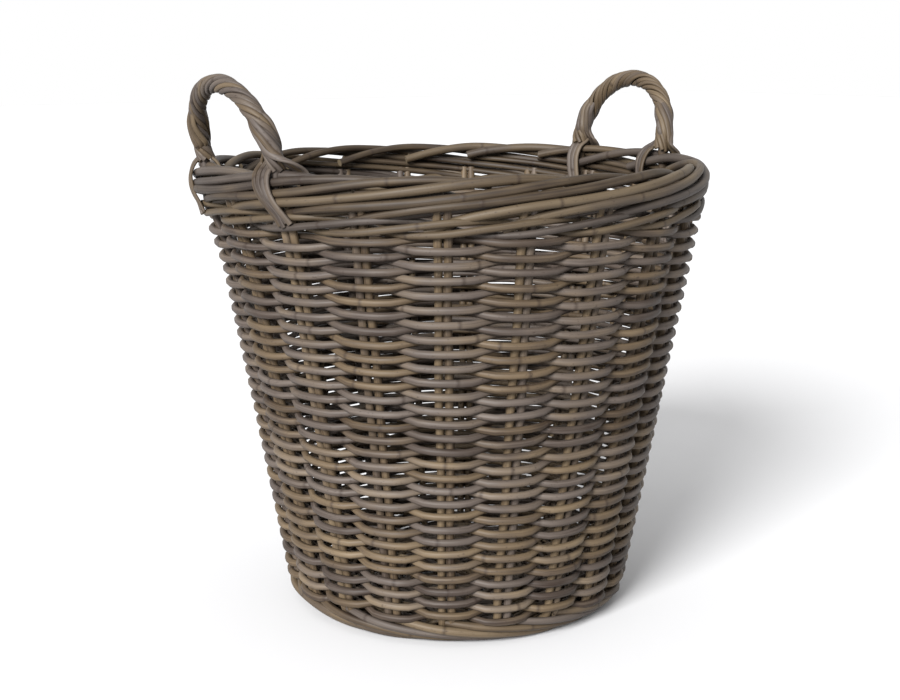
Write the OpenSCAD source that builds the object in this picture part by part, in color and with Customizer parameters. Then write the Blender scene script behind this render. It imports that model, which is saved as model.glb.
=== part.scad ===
/* [Basket] */
// Height of the rim's crest above the floor
rim_height = 452; // [440:1:470]
// Radius of the circle of stakes, carried down to the floor
stake_circle_r = 162.1; // [156:0.1:168]
// Outward lean of the wall, in millimetres for each millimetre of height
wall_lean = 0.18; // [0.16:0.005:0.2]

/* [Stakes] */
// Thickness of one upright stake
stake_d = 7.2; // [6.6:0.1:7.4]
// Distance between the two stakes of a pair, centre to centre
pair_gap = 9; // [8.6:0.2:9.6]

/* [Side weave] */
// Height of one woven row
row_pitch = 6.24; // [6:0.02:6.3]
// Thickness of a side weaver, measured outwards
weaver_t = 6; // [5.4:0.1:6.2]
// Rows in each course
course_rows = 6; // [4:1:6]

/* [Wale] */
// Thickness of a waling rod
wale_d = 6.8; // [6.2:0.1:7]
// Rows of waling under the border
wale_rows = 4; // [3:1:4]

/* [Border and foot] */
// Thickness of a border rod
border_d = 8.8; // [8:0.1:9]
// Distance from the rim's middle line to its side rods
border_spread = 8.1; // [8:0.1:8.4]
// Thickness of a foot rod
foot_d = 8.2; // [7.6:0.1:8.2]

/* [Base] */
// Thickness of a base stick
stick_d = 6; // [5:0.5:6]
// Thickness of a base weaver
base_weaver_d = 5; // [4:0.5:5]

/* [Handles] */
// Radius of a handle's hoop, to the middle of its core
hoop_r = 66; // [62:1:68]
// Thickness over a handle's wrapping
wrap_d = 17.5; // [16.5:0.5:19]
// Thickness of a handle's core
core_d = 9; // [8:0.5:9.5]
// Outward lean of a hoop, in degrees
hoop_lean = 15; // [12:0.5:16]
// Width of a lashing
lashing_w = 20; // [16:1:22]

/* [Hidden] */
STAKES = 20;
COURSES = 10;
PITCH_DEG = 360 / STAKES;
STAKE_TURN = -2.3;
GAP = 0.3;
KNUCKLE = 0.3;
$fn = 64;

// heights of the courses, the wale and the border
course_h = course_rows * row_pitch;
weaver_h = row_pitch - GAP;
weave_z = 23.4;
wale_z = weave_z + COURSES * course_h + GAP;
wale_pitch = wale_d - 0.2;
wale_top = wale_z + wale_rows * wale_pitch + 0.2;
crown_z = rim_height - border_d / 2;
side_high_z = crown_z - 8.6;
side_low_z = side_high_z - border_d - 0.2;
stake_top = wale_top - 1;

// the rim's middle line, which the handle legs go down through
rim_r = 237.5;

// the base plane and where a stake turns up from it
base_z = 12;
turn_r = 152;
turn_z = 20;
tail_r = 121;

// share of a stake's pitch that a row runs straight as it passes the stake
PASS = 0.36;
swing = stake_d / 2 + weaver_t / 2 + 0.9;

function stake_r(z) = stake_circle_r + wall_lean * z;

// the corners of one edge of a woven row, two for each stake
function row_edge(r, side) = [
    for (i = [0 : STAKES - 1], half = [-0.5, 0.5])
        let (a = (i + half * PASS) * PITCH_DEG, way = (i % 2 == 0) ? 1 : -1)
            (r + side * weaver_t / 2 + way * swing) * [cos(a), sin(a)]
];

// a woven row passes outside one pair of stakes and inside the next
module woven_row(r) {
    linear_extrude(weaver_h)
        difference() {
            polygon(row_edge(r, 1));
            polygon(row_edge(r, -1));
        }
}

// a course is a stack of rows, each turned one stake from the row below
module weave_course(n) {
    z0 = weave_z + (n - 1) * course_h;
    color("#7d6c5c")
        for (k = [0 : course_rows - 1])
            translate([0, 0, z0 + k * row_pitch])
                rotate([0, 0, (k % 2) * PITCH_DEG + STAKE_TURN])
                    woven_row(stake_r(z0 + (k + 0.5) * row_pitch));
}

// a straight round rod between two points
module rod(a, b, d) {
    v = b - a;
    translate(a)
        rotate([0, atan2(norm([v[0], v[1]]), v[2]), atan2(v[1], v[0])])
            cylinder(h = norm(v), d = d);
}

// a bent rod: straight lengths, with a slightly swollen knuckle at each bend
module bent_rod(points, d) {
    for (i = [0 : len(points) - 2])
        rod(points[i], points[i + 1], d);
    for (i = [1 : len(points) - 2])
        translate(points[i]) sphere(d = d + KNUCKLE);
}

// one stake: a tail in the base, a turn, and the upright in the wall
module stake(side, d, top) {
    y = side * pair_gap / 2;
    bent_rod([
        [tail_r, y, base_z],
        [turn_r, y, base_z],
        [stake_r(turn_z), y, turn_z],
        [stake_r(top), y, top]
    ], d);
}

module stake_pair(n) {
    color("#93805f")
        rotate([0, 0, (n - 1) * PITCH_DEG + STAKE_TURN])
            for (side = [-1, 1])
                stake(side, stake_d, stake_top);
}

// a round rod bent into a full circle
module hoop_rod(r, z, d) {
    rotate_extrude() translate([r, z]) circle(d = d);
}

// one edge of a base stick that runs straight over the middle, then splays by an angle
function stick_edge(y, tip, splay, side) =
    let (half = side * stick_d / 2, reach = 48)
        [
            [-tip[0] + half * sin(splay), tip[1] + half * cos(splay)],
            [-reach + half * tan(splay / 2), y + half],
            [reach - half * tan(splay / 2), y + half],
            [tip[0] - half * sin(splay), tip[1] + half * cos(splay)]
        ];

function turned_back(list) = [for (i = [len(list) - 1 : -1 : 0]) list[i]];

// five squared sticks side by side, whose ends splay to the pitch of the stakes
module base_sticks(level) {
    end_r = tail_r - 2;
    z = base_z + level * (stick_d / 2 + 0.1);
    for (i = [-2 : 2]) {
        tip = end_r * [cos(i * PITCH_DEG), sin(i * PITCH_DEG)];
        y = i * (stick_d + 2);
        splay = atan2(tip[1] - y, tip[0] - 48);
        translate([0, 0, z - stick_d / 2])
            linear_extrude(stick_d)
                polygon(concat(
                    stick_edge(y, tip, splay, 1),
                    turned_back(stick_edge(y, tip, splay, -1))
                ));
    }
}

module base_sticks_lower() {
    color("#8c7a5e") rotate([0, 0, STAKE_TURN]) base_sticks(-1);
}

module base_sticks_upper() {
    color("#8c7a5e") rotate([0, 0, 90 + STAKE_TURN]) base_sticks(1);
}

// base weave: cane wound round the centre in rings that touch
module cane_rings(inner_r, outer_r, z) {
    ring_pitch = base_weaver_d - 0.1;
    color("#7d6c5c")
        rotate_extrude()
            for (r = [inner_r : ring_pitch : outer_r])
                translate([r, z]) circle(d = base_weaver_d);
}

module base_weave_under() {
    cane_rings(23, 137, base_z - stick_d - GAP - base_weaver_d / 2);
}

module base_weave_over() {
    cane_rings(23, 150, base_z + stick_d + GAP + base_weaver_d / 2);
}

// foot rods: the two low ones have a worn flat where the basket stands
module foot_rod_inner() {
    color("#7a6a55")
        difference() {
            hoop_rod(145, foot_d / 2 - 0.2, foot_d);
            translate([0, 0, -5]) cylinder(h = 5, r = 200);
        }
}

module foot_rod_low() {
    color("#7a6a55")
        difference() {
            hoop_rod(153.5, foot_d / 2 - 0.2, foot_d);
            translate([0, 0, -5]) cylinder(h = 5, r = 200);
        }
}

module foot_rod_outer() {
    color("#7a6a55") hoop_rod(163.2, 8.6, foot_d);
}

module foot_rod_upper() {
    color("#7a6a55") hoop_rod(173.8, 18.4, foot_d);
}

// wale: rods wound round the stakes, outside and inside
module wale(side) {
    offset_r = stake_d / 2 + 0.5 + wale_d / 2;
    color("#80705c")
        rotate_extrude()
            for (k = [0 : wale_rows - 1]) {
                z = wale_z + wale_d / 2 + k * wale_pitch;
                translate([stake_r(z) + side * offset_r, z]) circle(d = wale_d);
            }
}

module top_wale_outer() {
    wale(1);
}

module top_wale_inner() {
    wale(-1);
}

// rim border: five rods round the rim, two outside, two inside and the crown
module border_outer_low() {
    color("#85755c") hoop_rod(rim_r + border_spread, side_low_z, border_d);
}

module border_outer_high() {
    color("#85755c") hoop_rod(rim_r + border_spread, side_high_z, border_d);
}

module border_inner_high() {
    color("#85755c") hoop_rod(rim_r - border_spread, side_high_z, border_d);
}

module border_inner_low() {
    color("#85755c") hoop_rod(rim_r - border_spread, side_low_z, border_d);
}

module border_crown() {
    color("#85755c")
        difference() {
            hoop_rod(rim_r, crown_z, border_d);
            for (turn = [RIGHT_TURN, LEFT_TURN], side = [-1, 1])
                rotate([0, 0, turn + side * foot_a]) handle_leg(leg_d + 2 * GAP);
        }
}

// which way each handle stands from the middle
RIGHT_TURN = 3;
LEFT_TURN = 176;

// handle feet stand on the rim's middle line, half a hoop from its centre
leg_d = 6;
foot_a = asin(hoop_r / rim_r);
foot_x = rim_r * cos(foot_a);
leg_top = rim_height + 11;

// one leg: a peg down through the border's crown, between its side rods
module handle_leg(d) {
    rod([rim_r, 0, side_low_z - 4], [rim_r, 0, leg_top + 1.5], d);
}

// half of a round ring standing on its two ends, leaning out with the handle
module hoop(d, bore) {
    translate([foot_x, 0, leg_top])
        rotate([0, hoop_lean, 0])
            rotate([90, 0, 90])
                difference() {
                    rotate_extrude(angle = 180) translate([hoop_r, 0]) circle(d = d);
                    if (bore > 0)
                        rotate([0, 0, -5])
                            rotate_extrude(angle = 190) translate([hoop_r, 0]) circle(d = bore);
                }
}

module handle_core() {
    color("#8a7860") {
        hoop(core_d, 0);
        for (side = [-1, 1])
            rotate([0, 0, side * foot_a]) handle_leg(leg_d);
    }
}

module handle_wrap() {
    color("#74664f") hoop(wrap_d, core_d + 2 * GAP);
}

// a lashing goes over the rim astride the leg and down both faces
module handle_lashing(side) {
    top = leg_top - 3.8;
    low = wale_z + 6;
    outer = rim_r + border_spread + border_d / 2;
    inner = rim_r - border_spread - border_d / 2;
    strap = 2.6;
    color("#6f6150")
        rotate([0, 0, side * foot_a])
            difference() {
                rotate([90, 0, 0])
                    linear_extrude(lashing_w, center = true)
                        polygon([
                            [inner - 0.9 - strap, low],
                            [inner - 0.9 - strap, top - 2],
                            [inner - strap + 1, top],
                            [outer + strap - 1, top],
                            [outer + 0.7 + strap, top - 2],
                            [outer + 0.7 + strap, side_low_z],
                            [outer - 2.6 + strap, low],
                            [outer - 2.6, low],
                            [outer + 0.7, side_low_z],
                            [outer + 0.7, rim_height + 0.6],
                            [inner - 0.9, rim_height + 0.6],
                            [inner - 0.9, low]
                        ]);
                translate([rim_r, 0, rim_height - 1]) cylinder(h = 10, d = leg_d + 2 * GAP);
            }
}

module right_handle_core() {
    rotate([0, 0, RIGHT_TURN]) handle_core();
}

module right_handle_wrap() {
    rotate([0, 0, RIGHT_TURN]) handle_wrap();
}

module right_front_lashing() {
    rotate([0, 0, RIGHT_TURN]) handle_lashing(-1);
}

module right_rear_lashing() {
    rotate([0, 0, RIGHT_TURN]) handle_lashing(1);
}

module left_handle_core() {
    rotate([0, 0, LEFT_TURN]) handle_core();
}

module left_handle_wrap() {
    rotate([0, 0, LEFT_TURN]) handle_wrap();
}

module left_front_lashing() {
    rotate([0, 0, LEFT_TURN]) handle_lashing(1);
}

module left_rear_lashing() {
    rotate([0, 0, LEFT_TURN]) handle_lashing(-1);
}

function two_digits(n) = n < 10 ? str("0", n) : str(n);
function course_name(n) = str("weave_course_", two_digits(n));
function pair_name(n) = str("stake_pair_", two_digits(n));

base_sticks_lower();
base_sticks_upper();
base_weave_under();
base_weave_over();
foot_rod_inner();
foot_rod_low();
foot_rod_outer();
foot_rod_upper();
for (n = [1 : STAKES])
    stake_pair(n);
for (n = [1 : COURSES])
    weave_course(n);
top_wale_outer();
top_wale_inner();
border_outer_low();
border_outer_high();
border_crown();
border_inner_high();
border_inner_low();
right_handle_core();
right_handle_wrap();
right_front_lashing();
right_rear_lashing();
left_handle_core();
left_handle_wrap();
left_front_lashing();
left_rear_lashing();
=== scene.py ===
import math
import bpy
import numpy as np
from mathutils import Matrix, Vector


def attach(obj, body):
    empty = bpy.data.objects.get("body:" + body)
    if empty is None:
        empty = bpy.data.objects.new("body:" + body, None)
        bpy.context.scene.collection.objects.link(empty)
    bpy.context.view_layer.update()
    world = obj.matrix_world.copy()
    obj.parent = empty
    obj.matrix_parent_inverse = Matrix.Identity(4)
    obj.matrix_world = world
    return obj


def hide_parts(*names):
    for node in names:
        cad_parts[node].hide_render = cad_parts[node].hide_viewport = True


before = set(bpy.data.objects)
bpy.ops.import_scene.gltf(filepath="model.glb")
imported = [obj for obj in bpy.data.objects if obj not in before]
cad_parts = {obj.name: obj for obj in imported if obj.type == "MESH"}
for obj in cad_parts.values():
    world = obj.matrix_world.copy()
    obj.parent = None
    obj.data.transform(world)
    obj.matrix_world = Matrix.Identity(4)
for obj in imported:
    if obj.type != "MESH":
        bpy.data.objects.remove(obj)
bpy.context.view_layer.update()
print("frame loaded:", len(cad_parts), "nodes")

# everything is in metres, in the frame's own axes
basket = {
    "stakes": 20,            # pairs of stakes round the wall
    "stakeCircle": 0.1621,   # radius of the stakes, carried down to the floor
    "lean": 0.18,            # how far the wall leans out for its height
    "rimRadius": 0.2375,     # middle line of the rim
    "firstStake": math.radians(-2.3),
    "seed": 41,
}
pitch = 2 * math.pi / basket["stakes"]
firstStake = basket["firstStake"]
draw = np.random.default_rng(basket["seed"])


def wallRadius(z):
    return basket["stakeCircle"] + basket["lean"] * z


def roundTheAxis(turn, radius, z):
    return np.stack([radius * np.cos(turn), radius * np.sin(turn), z + 0 * turn], axis=-1)


def outwards(turn):
    return np.stack([np.cos(turn), np.sin(turn), 0 * turn], axis=-1)


def sideways(turn):
    return np.stack([-np.sin(turn), np.cos(turn), 0 * turn], axis=-1)


def unit(vectors):
    return vectors / np.linalg.norm(vectors, axis=-1, keepdims=True)


def easeIn(x):
    x = np.clip(x, 0, 1)
    return x * x * (3 - 2 * x)


# a smooth line through knots, which may carry several values each
def through(knots, values, at):
    knots = np.asarray(knots, float)
    values = np.asarray(values, float)
    slopes = np.gradient(values, knots, axis=0)
    at = np.asarray(at, float)
    i = np.clip(np.searchsorted(knots, at, side="right") - 1, 0, len(knots) - 2)
    span = (knots[i + 1] - knots[i])[:, None]
    s = (at - knots[i])[:, None] / span
    start = (1 + 2 * s) * (1 - s) ** 2 * values[i]
    end = s * s * (3 - 2 * s) * values[i + 1]
    bend = s * (1 - s) ** 2 * slopes[i] + s * s * (s - 1) * slopes[i + 1]
    return start + end + span * bend


# even steps along a line through points, with the values that ride on it
def laidOut(points, steps, *riding):
    points = np.asarray(points, float)
    lengths = np.linalg.norm(np.diff(points, axis=0), axis=1)
    knots = np.concatenate([[0], np.cumsum(lengths)])
    at = np.linspace(0, knots[-1], steps)
    return [through(knots, rows, at) for rows in (points, *riding)]


# a slow wave over the whole wall, so that the rows don't run dead level
waves = {
    "height": 0.0009,
    # share, waves in a round, turn for each metre of height, start
    "slow": [(1.0, 2, 9, 0.6), (0.7, 3, -17, 2.1)],
    "quick": [(0.5, 7, 31, 0.0), (0.4, 11, -23, 1.3)],
}


def wander(turn, z):
    total = 0
    for share, count, climb, start in waves["slow"] + waves["quick"]:
        total = total + share * np.sin(count * turn + climb * z + start)
    return waves["height"] * total


# the rim is drawn out behind the left handle, and everything on it goes along
pull = {
    "amount": 0.0125,
    "turn": math.radians(158),
    "spread": math.radians(36),
    "from": 0.34,            # heights between which the pull grows
    "to": 0.44,
}


def drawnOut(path):
    turn = np.arctan2(path[:, 1], path[:, 0])
    away = np.angle(np.exp(1j * (turn - pull["turn"])))
    high = easeIn((path[:, 2] - pull["from"]) / (pull["to"] - pull["from"]))
    amount = pull["amount"] * np.exp(-(away / pull["spread"]) ** 2) * high
    return path + amount[:, None] * outwards(turn)


# gathers the canes of one piece and turns them into a mesh
class CaneWork:
    def __init__(self, name):
        self.name = name
        self.points = []
        self.faces = []
        self.fibre = []
        self.tone = []
        self.count = 0

    def addPoints(self, points, fibre, tone):
        self.points.append(points.reshape(-1, 3))
        self.fibre.append(fibre.reshape(-1, 3))
        self.tone.append(tone.reshape(-1, 3))
        first = self.count
        self.count += len(self.points[-1])
        return first

    # thick is half the size towards facing, wide is half the size across it
    def addCane(self, path, facing, thick, wide=None, sides=8, square=1.0, shade=None, ends=(1, 1)):
        path = drawnOut(np.asarray(path, float))
        n = len(path)
        wide = thick if wide is None else wide
        thick = np.broadcast_to(thick, n)[:, None]
        wide = np.broadcast_to(wide, n)[:, None]
        tangent = unit(np.gradient(path, axis=0))
        facing = np.broadcast_to(facing, (n, 3))
        up = unit(facing - np.sum(facing * tangent, axis=1, keepdims=True) * tangent)
        across = np.cross(tangent, up)
        angle = 2 * math.pi * (np.arange(sides) + 0.5) / sides
        c = np.sign(np.cos(angle)) * np.abs(np.cos(angle)) ** square
        s = np.sign(np.sin(angle)) * np.abs(np.sin(angle)) ** square
        high = thick * c
        out = wide * s
        ring = path[:, None] + high[..., None] * up[:, None] + out[..., None] * across[:, None]
        steps = np.linalg.norm(np.diff(path, axis=0), axis=1)
        along = np.concatenate([[0], np.cumsum(steps)]) + 20 * draw.random()
        fibre = np.stack([np.repeat(along[:, None], sides, axis=1), high, out], axis=-1)
        shade = draw.random(2) if shade is None else shade
        tone = np.zeros((n, sides, 3))
        tone[..., 0] = shade[0]
        tone[..., 1] = shade[1]
        first = self.addPoints(ring, fibre, tone)
        j = np.arange(sides)
        k = (j + 1) % sides
        for i in range(n - 1):
            low = first + i * sides
            quads = np.stack([low + j, low + k, low + sides + k, low + sides + j], axis=1)
            self.faces.extend(quads.tolist())
        for end, wanted in ((0, ends[0]), (n - 1, ends[1])):
            if not wanted:
                continue
            cap = np.vstack([ring[end], path[end]])
            capFibre = np.vstack([fibre[end], [along[end], 0, 0]])
            capTone = np.tile([shade[0], shade[1], 1.0], (sides + 1, 1))
            rim = self.addPoints(cap, capFibre, capTone)
            pairs = zip(j, k) if end else zip(k, j)
            self.faces.extend([rim + sides, rim + int(a), rim + int(b)] for a, b in pairs)

    def finish(self, finishName, slotName, *nodes):
        mesh = bpy.data.meshes.new(self.name)
        mesh.from_pydata(np.concatenate(self.points).tolist(), [], self.faces)
        for label, rows in (("fibre", self.fibre), ("tone", self.tone)):
            layer = mesh.attributes.new(label, "FLOAT_VECTOR", "POINT")
            layer.data.foreach_set("vector", np.concatenate(rows).astype(np.float32).ravel())
        mesh.shade_smooth()
        mesh.materials.append(finishes[finishName])
        piece = bpy.data.objects.new(self.name, mesh)
        bpy.context.scene.collection.objects.link(piece)
        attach(piece, "root")
        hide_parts(*nodes)
        return piece


# one shader socket, with the operators that join it to others
class Shade:
    def __init__(self, tree, out=None):
        self.tree = tree
        self.out = out

    def node(self, kind, settings=None, values=None, output=0):
        made = self.tree.nodes.new(kind)
        for name, value in (settings or {}).items():
            if name == "stops":
                for place, (position, colour) in enumerate(value):
                    stops = made.color_ramp.elements
                    stop = stops[place] if place < 2 else stops.new(position)
                    stop.position = position
                    stop.color = (*colour, 1)
            else:
                setattr(made, name, value)
        for socket, value in (values or {}).items():
            if isinstance(value, Shade):
                self.tree.links.new(value.out, made.inputs[socket])
            else:
                made.inputs[socket].default_value = value
        return Shade(self.tree, made.outputs[output] if len(made.outputs) else None)

    def maths(self, operation, *values):
        return self.node("ShaderNodeMath", {"operation": operation}, dict(enumerate(values)))

    def __add__(self, other):
        return self.maths("ADD", self, other)

    def __sub__(self, other):
        return self.maths("SUBTRACT", self, other)

    def __rsub__(self, other):
        return self.maths("SUBTRACT", other, self)

    def __mul__(self, other):
        return self.maths("MULTIPLY", self, other)

    def __truediv__(self, other):
        return self.maths("DIVIDE", self, other)

    __radd__ = __add__
    __rmul__ = __mul__

    def limited(self):
        return self.node("ShaderNodeClamp", None, {0: self})

    def blend(self, factor, first, second, kind="MIX"):
        settings = {"data_type": "RGBA", "blend_type": kind, "clamp_factor": True}
        return self.node("ShaderNodeMix", settings, {0: factor, 6: first, 7: second}, 2)

    def vector(self, x, y, z):
        return self.node("ShaderNodeCombineXYZ", None, {0: x, 1: y, 2: z})

    def noise(self, place, detail=2.0, rough=0.55):
        values = {"Vector": place, "Scale": 1.0, "Detail": detail, "Roughness": rough}
        return self.node("ShaderNodeTexNoise", {"noise_dimensions": "3D"}, values)


def colour(red, green, blue):
    def straight(v):
        v = v / 255
        return v / 12.92 if v <= 0.04045 else ((v + 0.055) / 1.055) ** 2.4
    return (straight(red), straight(green), straight(blue))


def newMaterial(name):
    material = bpy.data.materials.new(name)
    material.use_nodes = True
    material.node_tree.nodes.clear()
    return material


# weathered rattan: long fibres, dark rings at the joints of the cane, pale cut ends
def rattan(name, look):
    material = newMaterial(name)
    s = Shade(material.node_tree)
    fibre = s.node("ShaderNodeAttribute", {"attribute_name": "fibre"}, None, "Vector")
    tone = s.node("ShaderNodeAttribute", {"attribute_name": "tone"}, None, "Vector")
    along, high, out = [s.node("ShaderNodeSeparateXYZ", None, {0: fibre}, i) for i in range(3)]
    warm, bright, cut = [s.node("ShaderNodeSeparateXYZ", None, {0: tone}, i) for i in range(3)]
    grains = {}
    for grain, (lengthwise, across, detail) in look["grain"].items():
        place = along * lengthwise
        if grain == "streaks":
            place = place + warm * 37.0
        if grain == "patches":
            place = place + bright * 11.0
        grains[grain] = s.noise(s.vector(place, high * across, out * across), detail)
    streaks, hairs, patches, specks = [grains[n] for n in ("streaks", "hairs", "patches", "specks")]
    level = streaks * 0.55 + hairs * 0.25 + patches * 0.45 + (bright - 0.5) * look["canes"] - 0.12
    level = level.limited()
    ramps = []
    for body, light in (("body", "light"), ("tanBody", "tanLight")):
        stops = list(zip(look["stops"], (look["dark"], look[body], look[light])))
        ramps.append(s.node("ShaderNodeValToRGB", {"stops": stops}, {0: level}))
    cool, tan = ramps
    tanShare = ((warm - 0.5) * 2.4 + (patches - 0.5) * 2.0 + look["tan"]).limited()
    skin = s.blend(tanShare, cool, tan)
    # a thin dark ring where the cane had a leaf, every hand's breadth and a half
    spot = s.maths("FRACT", along * look["jointsPerMetre"] + warm * 5.0)
    ring = s.maths("ABSOLUTE", spot - 0.5)
    joint = (1 - ring / look["jointWidth"]).limited()
    grime = ((specks - 0.66) * 9.0).limited() * look["specks"]
    skin = s.blend(joint * 0.62 + grime, skin, (*look["joint"], 1))
    skin = s.blend(cut, skin, (*look["cut"], 1))
    height = hairs * 0.5 + streaks * 0.9 + joint * 0.7
    values = {"Strength": look["relief"], "Distance": look["depth"], "Height": height}
    bump = s.node("ShaderNodeBump", None, values)
    rough = look["rough"] + (hairs - 0.5) * 0.3 + cut * 0.2
    values = {
        "Base Color": skin, "Roughness": rough, "Normal": bump,
        "Specular IOR Level": look["shine"],
    }
    shader = s.node("ShaderNodeBsdfPrincipled", None, values)
    s.node("ShaderNodeOutputMaterial", None, {0: shader})
    return material


rattanLook = {
    "dark": colour(48, 35, 26),
    "body": colour(90, 80, 73),
    "light": colour(114, 103, 94),
    "tanBody": colour(100, 84, 64),
    "tanLight": colour(124, 107, 84),
    "joint": colour(33, 23, 17),
    "cut": colour(128, 112, 88),
    "canes": 0.34,        # how much the canes differ in lightness
    "tan": 0.36,          # share of tan canes
    "jointWidth": 0.018,
    "jointsPerMetre": 6.3,
    "specks": 0.55,
    "rough": 0.58,
    "relief": 0.5,
    "depth": 0.0006,
    "shine": 0.25,
    "stops": (0.22, 0.5, 0.78),
    # how fine each pattern is along the cane and across it, and its detail
    "grain": {
        "streaks": (5.0, 420.0, 3.0),
        "hairs": (26.0, 1500.0, 2.0),
        "patches": (19.0, 60.0, 2.0),
        "specks": (330.0, 420.0, 1.0),
    },
}


# the same finish, lighter or darker all over
def shaded(share, **changes):
    look = {**rattanLook, **changes}
    for part in ("dark", "body", "light", "tanBody", "tanLight", "cut"):
        look[part] = tuple(share * channel for channel in look[part])
    return look


finishes = {
    "weaver": rattan("Rattan weaver", shaded(0.555)),
    "stake": rattan("Rattan stake", shaded(0.62, tan=0.8, canes=0.2)),
    "border": rattan("Rattan border rod", shaded(0.36, tan=0.75)),
    "foot": rattan("Rattan foot rod", shaded(0.48, tan=0.75)),
    "split": rattan("Split rattan", shaded(0.46, tan=0.5, canes=0.24, relief=0.6)),
    "base": rattan("Rattan base", shaded(0.58, tan=0.5)),
}
print("finishes made")

# the base

base = {
    "level": 0.012,
    "stick": 0.003,
    "apart": 0.008,
    "reach": 0.048,
    "tip": 0.119,
    "weaver": 0.0024,
    "swing": 0.0054,
    "rowPitch": 0.005,
    "firstRow": 0.055,
    "lastRow": 0.1495,
    "bindRadius": 0.0415,
    "bindPitch": 0.0047,
    "bindRounds": 1.5,
    "bindSwing": 0.0056,
    "bindWeaver": 0.0023,
}


def baseSticks(name, turn, side, node):
    work = CaneWork(name)
    turn = turn + firstStake
    flip = np.array([[math.cos(turn), -math.sin(turn), 0], [math.sin(turn), math.cos(turn), 0], [0, 0, 1]])
    for i in range(-2, 3):
        y = i * base["apart"]
        tip = base["tip"] * np.array([math.cos(i * pitch), math.sin(i * pitch)])
        z = base["level"] + side * (base["stick"] + 0.0001)
        half = [[0, y, z], [0.03, y, z], [base["reach"], y * 1.08, z]]
        half.append([0.08, y + (tip[1] - y) * 0.52, base["level"]])
        half.append([tip[0], tip[1], base["level"]])
        mirrored = [[-p[0], p[1], p[2]] for p in half[:0:-1]]
        path, = laidOut(mirrored + half, 34)
        work.addCane(path @ flip.T, (0, 0, 1), base["stick"] * draw.uniform(0.95, 1.02), sides=8)
    work.finish("base", "base_stick", node)


def baseWeave(name, s, node):
    work = CaneWork(name)
    turns = (base["lastRow"] - base["firstRow"]) / (2 * base["rowPitch"])
    turn = np.linspace(0, 2 * math.pi * turns, int(turns * 20 * 5))
    radius = base["firstRow"] + base["rowPitch"] * (turn / math.pi + s)
    wave = np.tanh(1.4 * np.cos(10 * turn + s * math.pi)) / math.tanh(1.4)
    path = roundTheAxis(turn + firstStake, radius, base["level"] + base["swing"] * wave)
    for first in range(0, len(path) - 1, 190):
        last = min(first + 192, len(path))
        work.addCane(path[first:last], (0, 0, 1), base["weaver"], sides=6)
    # the rounds that bind the crossed sticks
    turn = np.linspace(0, 2 * math.pi * base["bindRounds"], 96)
    radius = base["bindRadius"] + base["bindPitch"] * (turn / math.pi + s)
    wave = np.tanh(2 * np.cos(2 * turn + s * math.pi)) / math.tanh(2)
    path = roundTheAxis(turn + firstStake, radius, base["level"] + base["bindSwing"] * wave)
    work.addCane(path, (0, 0, 1), base["bindWeaver"], sides=6)
    work.finish("base", "base_weaver", node)


baseSticks("baseSticksLower", 0, -1, "base_sticks_lower")
baseSticks("baseSticksUpper", math.pi / 2, 1, "base_sticks_upper")
baseWeave("baseWeaveFirst", 0, "base_weave_over")
baseWeave("baseWeaveSecond", 1, "base_weave_under")
print("base made")

# the stakes

stakes = {
    "thick": 0.0041,
    "apart": 0.009,
    "tail": [(0.121, 0.012), (0.136, 0.012), (0.150, 0.0122), (0.1595, 0.0148), (0.1656, 0.0205)],
    "top": 0.4235,
    "wobble": 0.0005,
}


def stakePair(number):
    work = CaneWork("stakePair%02d" % number)
    turn = (number - 1) * pitch + firstStake
    for side in (-1, 1):
        points = [(r, 0.0, z) for r, z in stakes["tail"]]
        for z in np.linspace(0.05, stakes["top"], 9):
            points.append((wallRadius(z), stakes["wobble"] * draw.normal(), z))
        local, = laidOut(points, 40)
        local[:, 1] += side * stakes["apart"] / 2
        path = local[:, :1] * outwards(np.array([turn])) + local[:, 1:2] * sideways(np.array([turn]))
        path[:, 2] = local[:, 2]
        thick = stakes["thick"] * draw.uniform(0.96, 1.03)
        work.addCane(path, sideways(np.array([turn]))[0], thick, sides=8)
    work.finish("stake", "stake", "stake_pair_%02d" % number)


for number in range(1, basket["stakes"] + 1):
    stakePair(number)
print("stakes made")

# the side weave: two weavers chase each other, a round each

weave = {
    "rows": 57,
    "courses": 10,
    "low": 0.0234,
    "rowPitch": 0.00657,
    "thick": 0.0036,        # half a weaver
    "swing": 0.0077,        # from the stakes' circle to the weaver's middle
    "sag": 0.0015,          # how far a stroke dips where it passes outside a pair
    "steps": 6,             # points for each stake passed
    "join": 3,              # the pair of stakes near which each round ends, out of sight
    "shortest": 18,         # strokes in a cane
    "longest": 44,
    "lead": 0.38,           # how far a cane's ends run past their pairs, in pitches
    "trail": 0.42,
    "tuck": 0.0050,         # how far in a cane's end is pushed
    "stray": 0.00035,
}


def weaveStroke(place, s):
    square = 1.6
    return np.tanh(square * np.cos(math.pi * (place + s))) / math.tanh(square)


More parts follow.
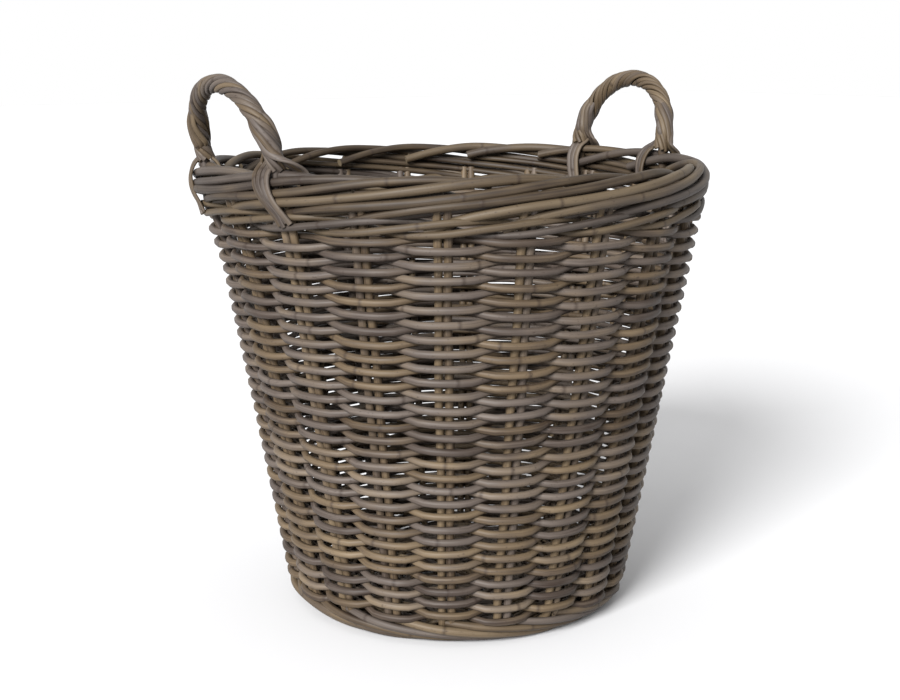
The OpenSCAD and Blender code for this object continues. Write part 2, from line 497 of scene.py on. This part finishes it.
courses = [CaneWork("weaveCourse%02d" % (i + 1)) for i in range(weave["courses"])]
for s in (0, 1):
    rounds = range(s, weave["rows"], 2)
    nextBreak = draw.integers(4, 30)
    shade = draw.random(2)
    thick = weave["thick"]
    done = 0
    for row in rounds:
        z = weave["low"] + (row + 0.5) * weave["rowPitch"]
        join = weave["join"] + s + 2 * int(draw.integers(-1, 2))
        cuts = [0]
        while done + cuts[-1] < nextBreak < done + basket["stakes"]:
            cuts.append(nextBreak - done - (nextBreak - done) % 2)
            nextBreak += int(draw.integers(weave["shortest"], weave["longest"]))
            if cuts[-1] <= 0:
                cuts.pop()
                break
        cuts.append(basket["stakes"])
        for first, last in zip(cuts[:-1], cuts[1:]):
            if first or not row > 1:
                shade = draw.random(2)
                thick = weave["thick"] * draw.uniform(0.94, 1.03)
            count = int((last - first + weave["lead"] + weave["trail"]) * weave["steps"]) + 1
            place = np.linspace(join + first - weave["lead"], join + last + weave["trail"], count)
            turn = place * pitch + firstStake
            tuck = -weave["tuck"] * easeIn((place - (join + last) + 0.9) / 0.6)
            stroke = weaveStroke(place, s)
            radius = wallRadius(z) + weave["swing"] * stroke + tuck
            strays = weave["stray"] * draw.normal(size=(47, 1))
            stray = through(np.arange(-2, 45), strays, place - join)[:, 0]
            level = z + wander(turn, z) + stray - weave["sag"] * stroke
            path = roundTheAxis(turn, radius, level)
            course = courses[row * weave["courses"] // weave["rows"]]
            wide = thick * (0.96 + 0.06 * stroke)
            course.addCane(path, outwards(turn), thick, wide, shade=shade)
        done += basket["stakes"]
for i, course in enumerate(courses):
    course.finish("weaver", "side_weaver", "weave_course_%02d" % (i + 1))
print("side weave made")

# the waling under the rim: three rods in four lengths, in front of two pairs and behind one

wale = {
    "middle": 0.4068,
    "climb": 0.007,        # half of what a stroke climbs on the outside
    "thick": 0.0035,
    "swing": 0.0073,
    "knots": [0, 0.32, 0.85, 1.5, 2.15, 2.68, 3],
    "outOrIn": [-1, -0.62, 0.86, 1.0, 0.86, -0.62, -1],
    "lift": [0.1, -0.75, -0.82, 0.0, 0.82, 0.75, 0.1],
    "length": 15,          # pairs that one length passes
    "over": 0.3,           # how far its ends run on, in pitches
    "tuck": 0.0045,
    "steps": 6,
}


def waleRods(name, starts, node):
    work = CaneWork(name)
    for start in starts:
        end = start + wale["length"]
        count = wale["length"] * wale["steps"] + 4
        place = np.linspace(start - wale["over"], end + wale["over"], count)
        shape = through(wale["knots"], list(zip(wale["outOrIn"], wale["lift"])), place % 3)
        turn = place * pitch + firstStake
        z = wale["middle"] + wale["climb"] * shape[:, 1]
        tuck = -wale["tuck"] * easeIn((place - end + 0.5) / 0.5)
        path = roundTheAxis(turn, wallRadius(z) + wale["swing"] * shape[:, 0] + tuck, z)
        work.addCane(path, outwards(turn), wale["thick"] * draw.uniform(0.95, 1.04))
    work.finish("border", "wale_rod", node)


waleRods("walingFirst", (0, 15), "top_wale_outer")
waleRods("walingSecond", (30, 45), "top_wale_inner")
print("waling made")

# the border: each stake bends down to the right, runs outside, and crosses to the inside

border = {
    "thick": 0.0043,
    # stakes passed, radius, height
    "run": [
        (-0.25, 0.2372, 0.4050), (0.25, 0.2402, 0.4165), (0.7, 0.2452, 0.4222), (1.7, 0.2462, 0.4302),
        (2.7, 0.2452, 0.4387), (3.4, 0.2418, 0.4452), (4.0, 0.2352, 0.4475), (4.6, 0.2292, 0.4425),
        (5.3, 0.2270, 0.4300),
    ],
    "filler": [(0.0, 0.2372, 0.4120), (1.5, 0.2372, 0.4250), (3.0, 0.2372, 0.4360)],
    "fillerThick": 0.0034,
    "stray": 0.0008,
    "fillerStray": 0.0003,
    "short": 0.7,          # how much shorter than the run a rod may be, in pitches
    "nodes": [
        "border_outer_low", "border_outer_high", "border_crown",
        "border_inner_high", "border_inner_low",
    ],
}


def rodRun(work, run, number, steps, thick, stray, sides=10, short=0.0):
    run = np.array(run)
    at = np.linspace(run[0, 0], run[-1, 0] - short * draw.random(), steps)
    shape = through(run[:, 0], run[:, 1:], at)
    slow = through(np.linspace(-1, 6, 8), stray * draw.normal(size=(8, 2)), at)
    shape = shape + slow
    turn = (number + at + 0.05 * draw.normal()) * pitch + firstStake
    path = roundTheAxis(turn, shape[:, 0], shape[:, 1])
    taper = 1 + 0.07 * np.sin(at * draw.uniform(0.9, 1.6) + 6 * draw.random())
    work.addCane(path, outwards(turn), thick * taper * draw.uniform(0.92, 1.04), sides=sides)


# the rods of one piece, when all the rods are shared out evenly
def rodsOf(part, look):
    count = basket["stakes"] // len(look["nodes"])
    return range(part * count, part * count + count)


for part, node in enumerate(border["nodes"]):
    work = CaneWork("borderRods%d" % (part + 1))
    for number in rodsOf(part, border):
        rodRun(work, border["run"], number, 64, border["thick"], border["stray"], short=border["short"])
        rodRun(work, border["filler"], number, 24, border["fillerThick"], border["fillerStray"], 6)
    work.finish("border", "border_rod", node)
print("border made")

# the foot: the stakes' lower ends rolled into a rope

foot = {
    "thick": 0.004,
    "run": [
        (0.0, 0.1660, 0.0235), (0.8, 0.1722, 0.0187), (1.8, 0.1668, 0.0117), (2.8, 0.1600, 0.0064),
        (3.8, 0.1515, 0.0047), (4.8, 0.1432, 0.0050), (5.4, 0.1400, 0.0076),
    ],
    "stray": 0.00025,
    "nodes": ["foot_rod_inner", "foot_rod_low", "foot_rod_outer", "foot_rod_upper"],
}
for part, node in enumerate(foot["nodes"]):
    work = CaneWork("footRods%d" % (part + 1))
    for number in rodsOf(part, foot):
        rodRun(work, foot["run"], number, 52, foot["thick"], foot["stray"], 8)
    work.finish("foot", "foot_rod", node)
print("foot made")

# the handles

handle = {
    "hoop": 0.066,
    "lean": math.radians(15),
    "foot": 0.4630,          # height at which the hoop starts
    "core": 0.0048,
    "leg": (0.403, 0.43),    # the core's foot, and where it starts to bend
    "strands": 8,
    "coil": 0.0071,          # from the core's middle to a strand's middle
    "turns": 2.9,
    "down": 0.15,            # how far the wrapping runs on below the hoop, as an angle
    # where each handle stands, and how much wider its hoop is than a round one
    "places": {"right": (math.radians(3), 0.96), "left": (math.radians(176), 1.08)},
    "thick": 0.0017,
    "wide": 0.0025,
}
footTurn = math.asin(handle["hoop"] / basket["rimRadius"])
footOut = basket["rimRadius"] * math.cos(footTurn)


# the hoop's middle line, and the two directions across it
def hoopLine(angle, stretch):
    angle = np.asarray(angle, float)
    side = np.array([0.0, 1.0, 0.0])
    rise = np.array([math.sin(handle["lean"]), 0.0, math.cos(handle["lean"])])
    away = np.cos(angle)[..., None] * side + np.sin(angle)[..., None] * rise
    middle = handle["hoop"] * (away + (stretch - 1) * np.cos(angle)[..., None] * side)
    middle = middle + np.array([footOut, 0.0, handle["foot"]])
    face = np.broadcast_to(np.cross(side, rise), away.shape)
    return middle, away, face


def turned(points, turn):
    c = math.cos(turn)
    s = math.sin(turn)
    return np.asarray(points) @ np.array([[c, s, 0], [-s, c, 0], [0, 0, 1]])


def handleCore(name, turn, stretch, node):
    work = CaneWork(name)
    legLow = [[basket["rimRadius"], 0, z] for z in handle["leg"]]
    middle = hoopLine(np.linspace(0, math.pi, 25), stretch)[0]
    reach = footTurn * stretch
    points = np.vstack([turned(legLow, reach), middle, turned(legLow[::-1], -reach)])
    path, = laidOut(points, 80)
    work.addCane(turned(path, turn), turned([[1.0, 0, 0]], turn)[0], handle["core"], sides=8)
    work.finish("split", "handle_core", node)


def handleWrap(name, turn, stretch, node):
    work = CaneWork(name)
    for strand in range(handle["strands"]):
        angle = np.linspace(-handle["down"], math.pi + handle["down"], 120)
        middle, away, face = hoopLine(angle, stretch)
        spin = 2 * math.pi * (strand / handle["strands"] + handle["turns"] * angle / math.pi)
        spin = spin + 0.06 * draw.normal()
        facing = np.cos(spin)[:, None] * away + np.sin(spin)[:, None] * face
        coil = handle["coil"] + 0.0003 * draw.normal()
        path = middle + coil * facing
        work.addCane(
            turned(path, turn), turned(facing, turn), handle["thick"],
            handle["wide"] * draw.uniform(0.93, 1.08), sides=8, square=0.75,
        )
    work.finish("split", "handle_wrap", node)


# the strands leave the hoop, cross the rim and lie down its outer or inner face
lashing = {
    "thick": 0.0016,
    "wide": 0.0027,
    "apart": 0.0053,
    "tucked": 0.0068,        # from the hoop's middle line to where a strand starts
    "raised": 0.0090,        # and to where it lies on top of the wrapping
    "spread": 0.0095,        # radius on which the strands lie side by side
    "strands": (4, 3),       # outside and inside
    "move": {"front": 0.0035, "rear": -0.0150},
    # angle round the hoop's core and how far up the leg, for the strands that go down outside
    "outsideStart": [(285, 0.62), (262, 0.45), (235, 0.28), (212, 0.12)],
    "insideStart": [(105, 0.62), (82, 0.45), (55, 0.28), (28, 0.12)],
    # radius, shift to the right as seen from outside, height, and the way the strand faces
    "outside": [
        (0.2390, -0.0085, 0.4585, 0.25, 1.0), (0.2475, -0.0078, 0.4495, 1.0, 0.6),
        (0.2512, -0.0045, 0.4395, 1.0, 0.1), (0.2522, 0.0010, 0.4300, 1.0, 0.0),
        (0.2510, 0.0070, 0.4215, 1.0, -0.1), (0.2484, 0.0125, 0.4140, 1.0, -0.2),
        (0.2466, 0.0175, 0.4065, 1.0, -0.1),
    ],
    "inside": [
        (0.2370, 0.0125, 0.4585, -0.1, 1.0), (0.2268, 0.0150, 0.4510, -1.0, 0.8),
        (0.2226, 0.0168, 0.4410, -1.0, 0.2), (0.2210, 0.0160, 0.4300, -1.0, 0.0),
        (0.2206, 0.0140, 0.4180, -1.0, 0.0), (0.2196, 0.0120, 0.4080, -1.0, 0.0),
    ],
}


def lashingStrands(work, turn, stretch, side, start, run, count, move=0.0):
    for strand in range(count):
        offset = (strand - (count - 1) / 2) * lashing["apart"]
        points = []
        facings = []
        for spin, up in start:
            angle = up if side > 0 else math.pi - up
            spin = math.radians(spin if side > 0 else 180 - spin)
            spin += side * offset / lashing["spread"]
            middle, away, face = hoopLine(np.array([angle]), stretch)
            out = math.cos(spin) * away[0] + math.sin(spin) * face[0]
            points.append(middle[0] + lashing["raised" if points else "tucked"] * out)
            facings.append(out)
        legTurn = side * footTurn * stretch
        last = draw.uniform(-0.005, 0.003)
        for i, (radius, shift, z, out, up) in enumerate(run):
            if i == len(run) - 1:
                z += last
            there = np.array([legTurn + (shift + move + offset * (1 - 0.05 * i)) / radius])
            points.append(roundTheAxis(there, radius + 0.0003 * draw.normal(), z)[0])
            facings.append(out * outwards(there)[0] + np.array([0, 0, up]))
        path, facing = laidOut(points, 56, np.array(facings))
        wide = lashing["wide"] * draw.uniform(0.92, 1.1)
        work.addCane(
            turned(path, turn), turned(unit(facing), turn), lashing["thick"], wide,
            sides=8, square=0.75, ends=(0, 1),
        )


def handleLashing(name, turn, stretch, side, move, node):
    work = CaneWork(name)
    outside, inside = lashing["strands"]
    lashingStrands(work, turn, stretch, side, lashing["outsideStart"], lashing["outside"], outside)
    lashingStrands(work, turn, stretch, side, lashing["insideStart"], lashing["inside"], inside, move)
    work.finish("split", "lashing", node)


for which, (turn, stretch) in handle["places"].items():
    handleCore(which + "HandleCore", turn, stretch, which + "_handle_core")
    handleWrap(which + "HandleWrap", turn, stretch, which + "_handle_wrap")
    for end, side in (("front", -1), ("rear", 1)):
        side = side if which == "right" else -side
        node = "%s_%s_lashing" % (which, end)
        name = which + end.capitalize() + "Lashing"
        handleLashing(name, turn, stretch, side, lashing["move"][end], node)
print("handles made")

# the floor, the lights and the camera

studio = {
    "floor": colour(188, 188, 189),
    "reach": 14.0,
    "sky": 1.0,
    "key": 9.0,
    "keySoftness": math.radians(23.5),
    "keyHeight": math.radians(26),
    "keyTurn": math.radians(-116 - 35),   # where the key light stands, from +X
}
floorMaterial = newMaterial("Pale floor")
s = Shade(floorMaterial.node_tree)
floorShader = s.node(
    "ShaderNodeBsdfPrincipled", None,
    {"Base Color": (*studio["floor"], 1), "Roughness": 0.9, "Specular IOR Level": 0.1},
)
s.node("ShaderNodeOutputMaterial", None, {0: floorShader})
floorMesh = bpy.data.meshes.new("floor")
reach = studio["reach"]
floorMesh.from_pydata(
    [(-reach, -reach, 0), (reach, -reach, 0), (reach, reach, 0), (-reach, reach, 0)], [], [(0, 1, 2, 3)]
)
floorMesh.materials.append(floorMaterial)
floor = bpy.data.objects.new("floor", floorMesh)
bpy.context.scene.collection.objects.link(floor)

world = bpy.data.worlds.new("Studio")
bpy.context.scene.world = world
world.use_nodes = True
world.node_tree.nodes.clear()
s = Shade(world.node_tree)
sky = s.node("ShaderNodeBackground", None, {0: (1, 1, 1, 1), 1: studio["sky"]})
s.node("ShaderNodeOutputWorld", None, {0: sky})

keyLight = bpy.data.lights.new("keyLight", "SUN")
keyLight.energy = studio["key"]
keyLight.angle = studio["keySoftness"]
key = bpy.data.objects.new("keyLight", keyLight)
towards = Vector((
    math.cos(studio["keyHeight"]) * math.cos(studio["keyTurn"]),
    math.cos(studio["keyHeight"]) * math.sin(studio["keyTurn"]),
    math.sin(studio["keyHeight"]),
))
key.rotation_euler = towards.to_track_quat("Z", "Y").to_euler()
bpy.context.scene.collection.objects.link(key)

view = {
    "place": (-0.8661, -1.2247, 0.5546),
    "down": 0.1978,
    "turn": math.radians(-35),
    "lens": 59.48,
}
cameraData = bpy.data.cameras.new("camera")
cameraData.lens = view["lens"]
cameraData.sensor_width = 36
cameraData.clip_end = 60
camera = bpy.data.objects.new("camera", cameraData)
camera.location = view["place"]
camera.rotation_euler = (math.pi / 2 - view["down"], 0, view["turn"])
bpy.context.scene.collection.objects.link(camera)
bpy.context.scene.camera = camera
bpy.context.scene.view_settings.view_transform = "Standard"
print("studio made")
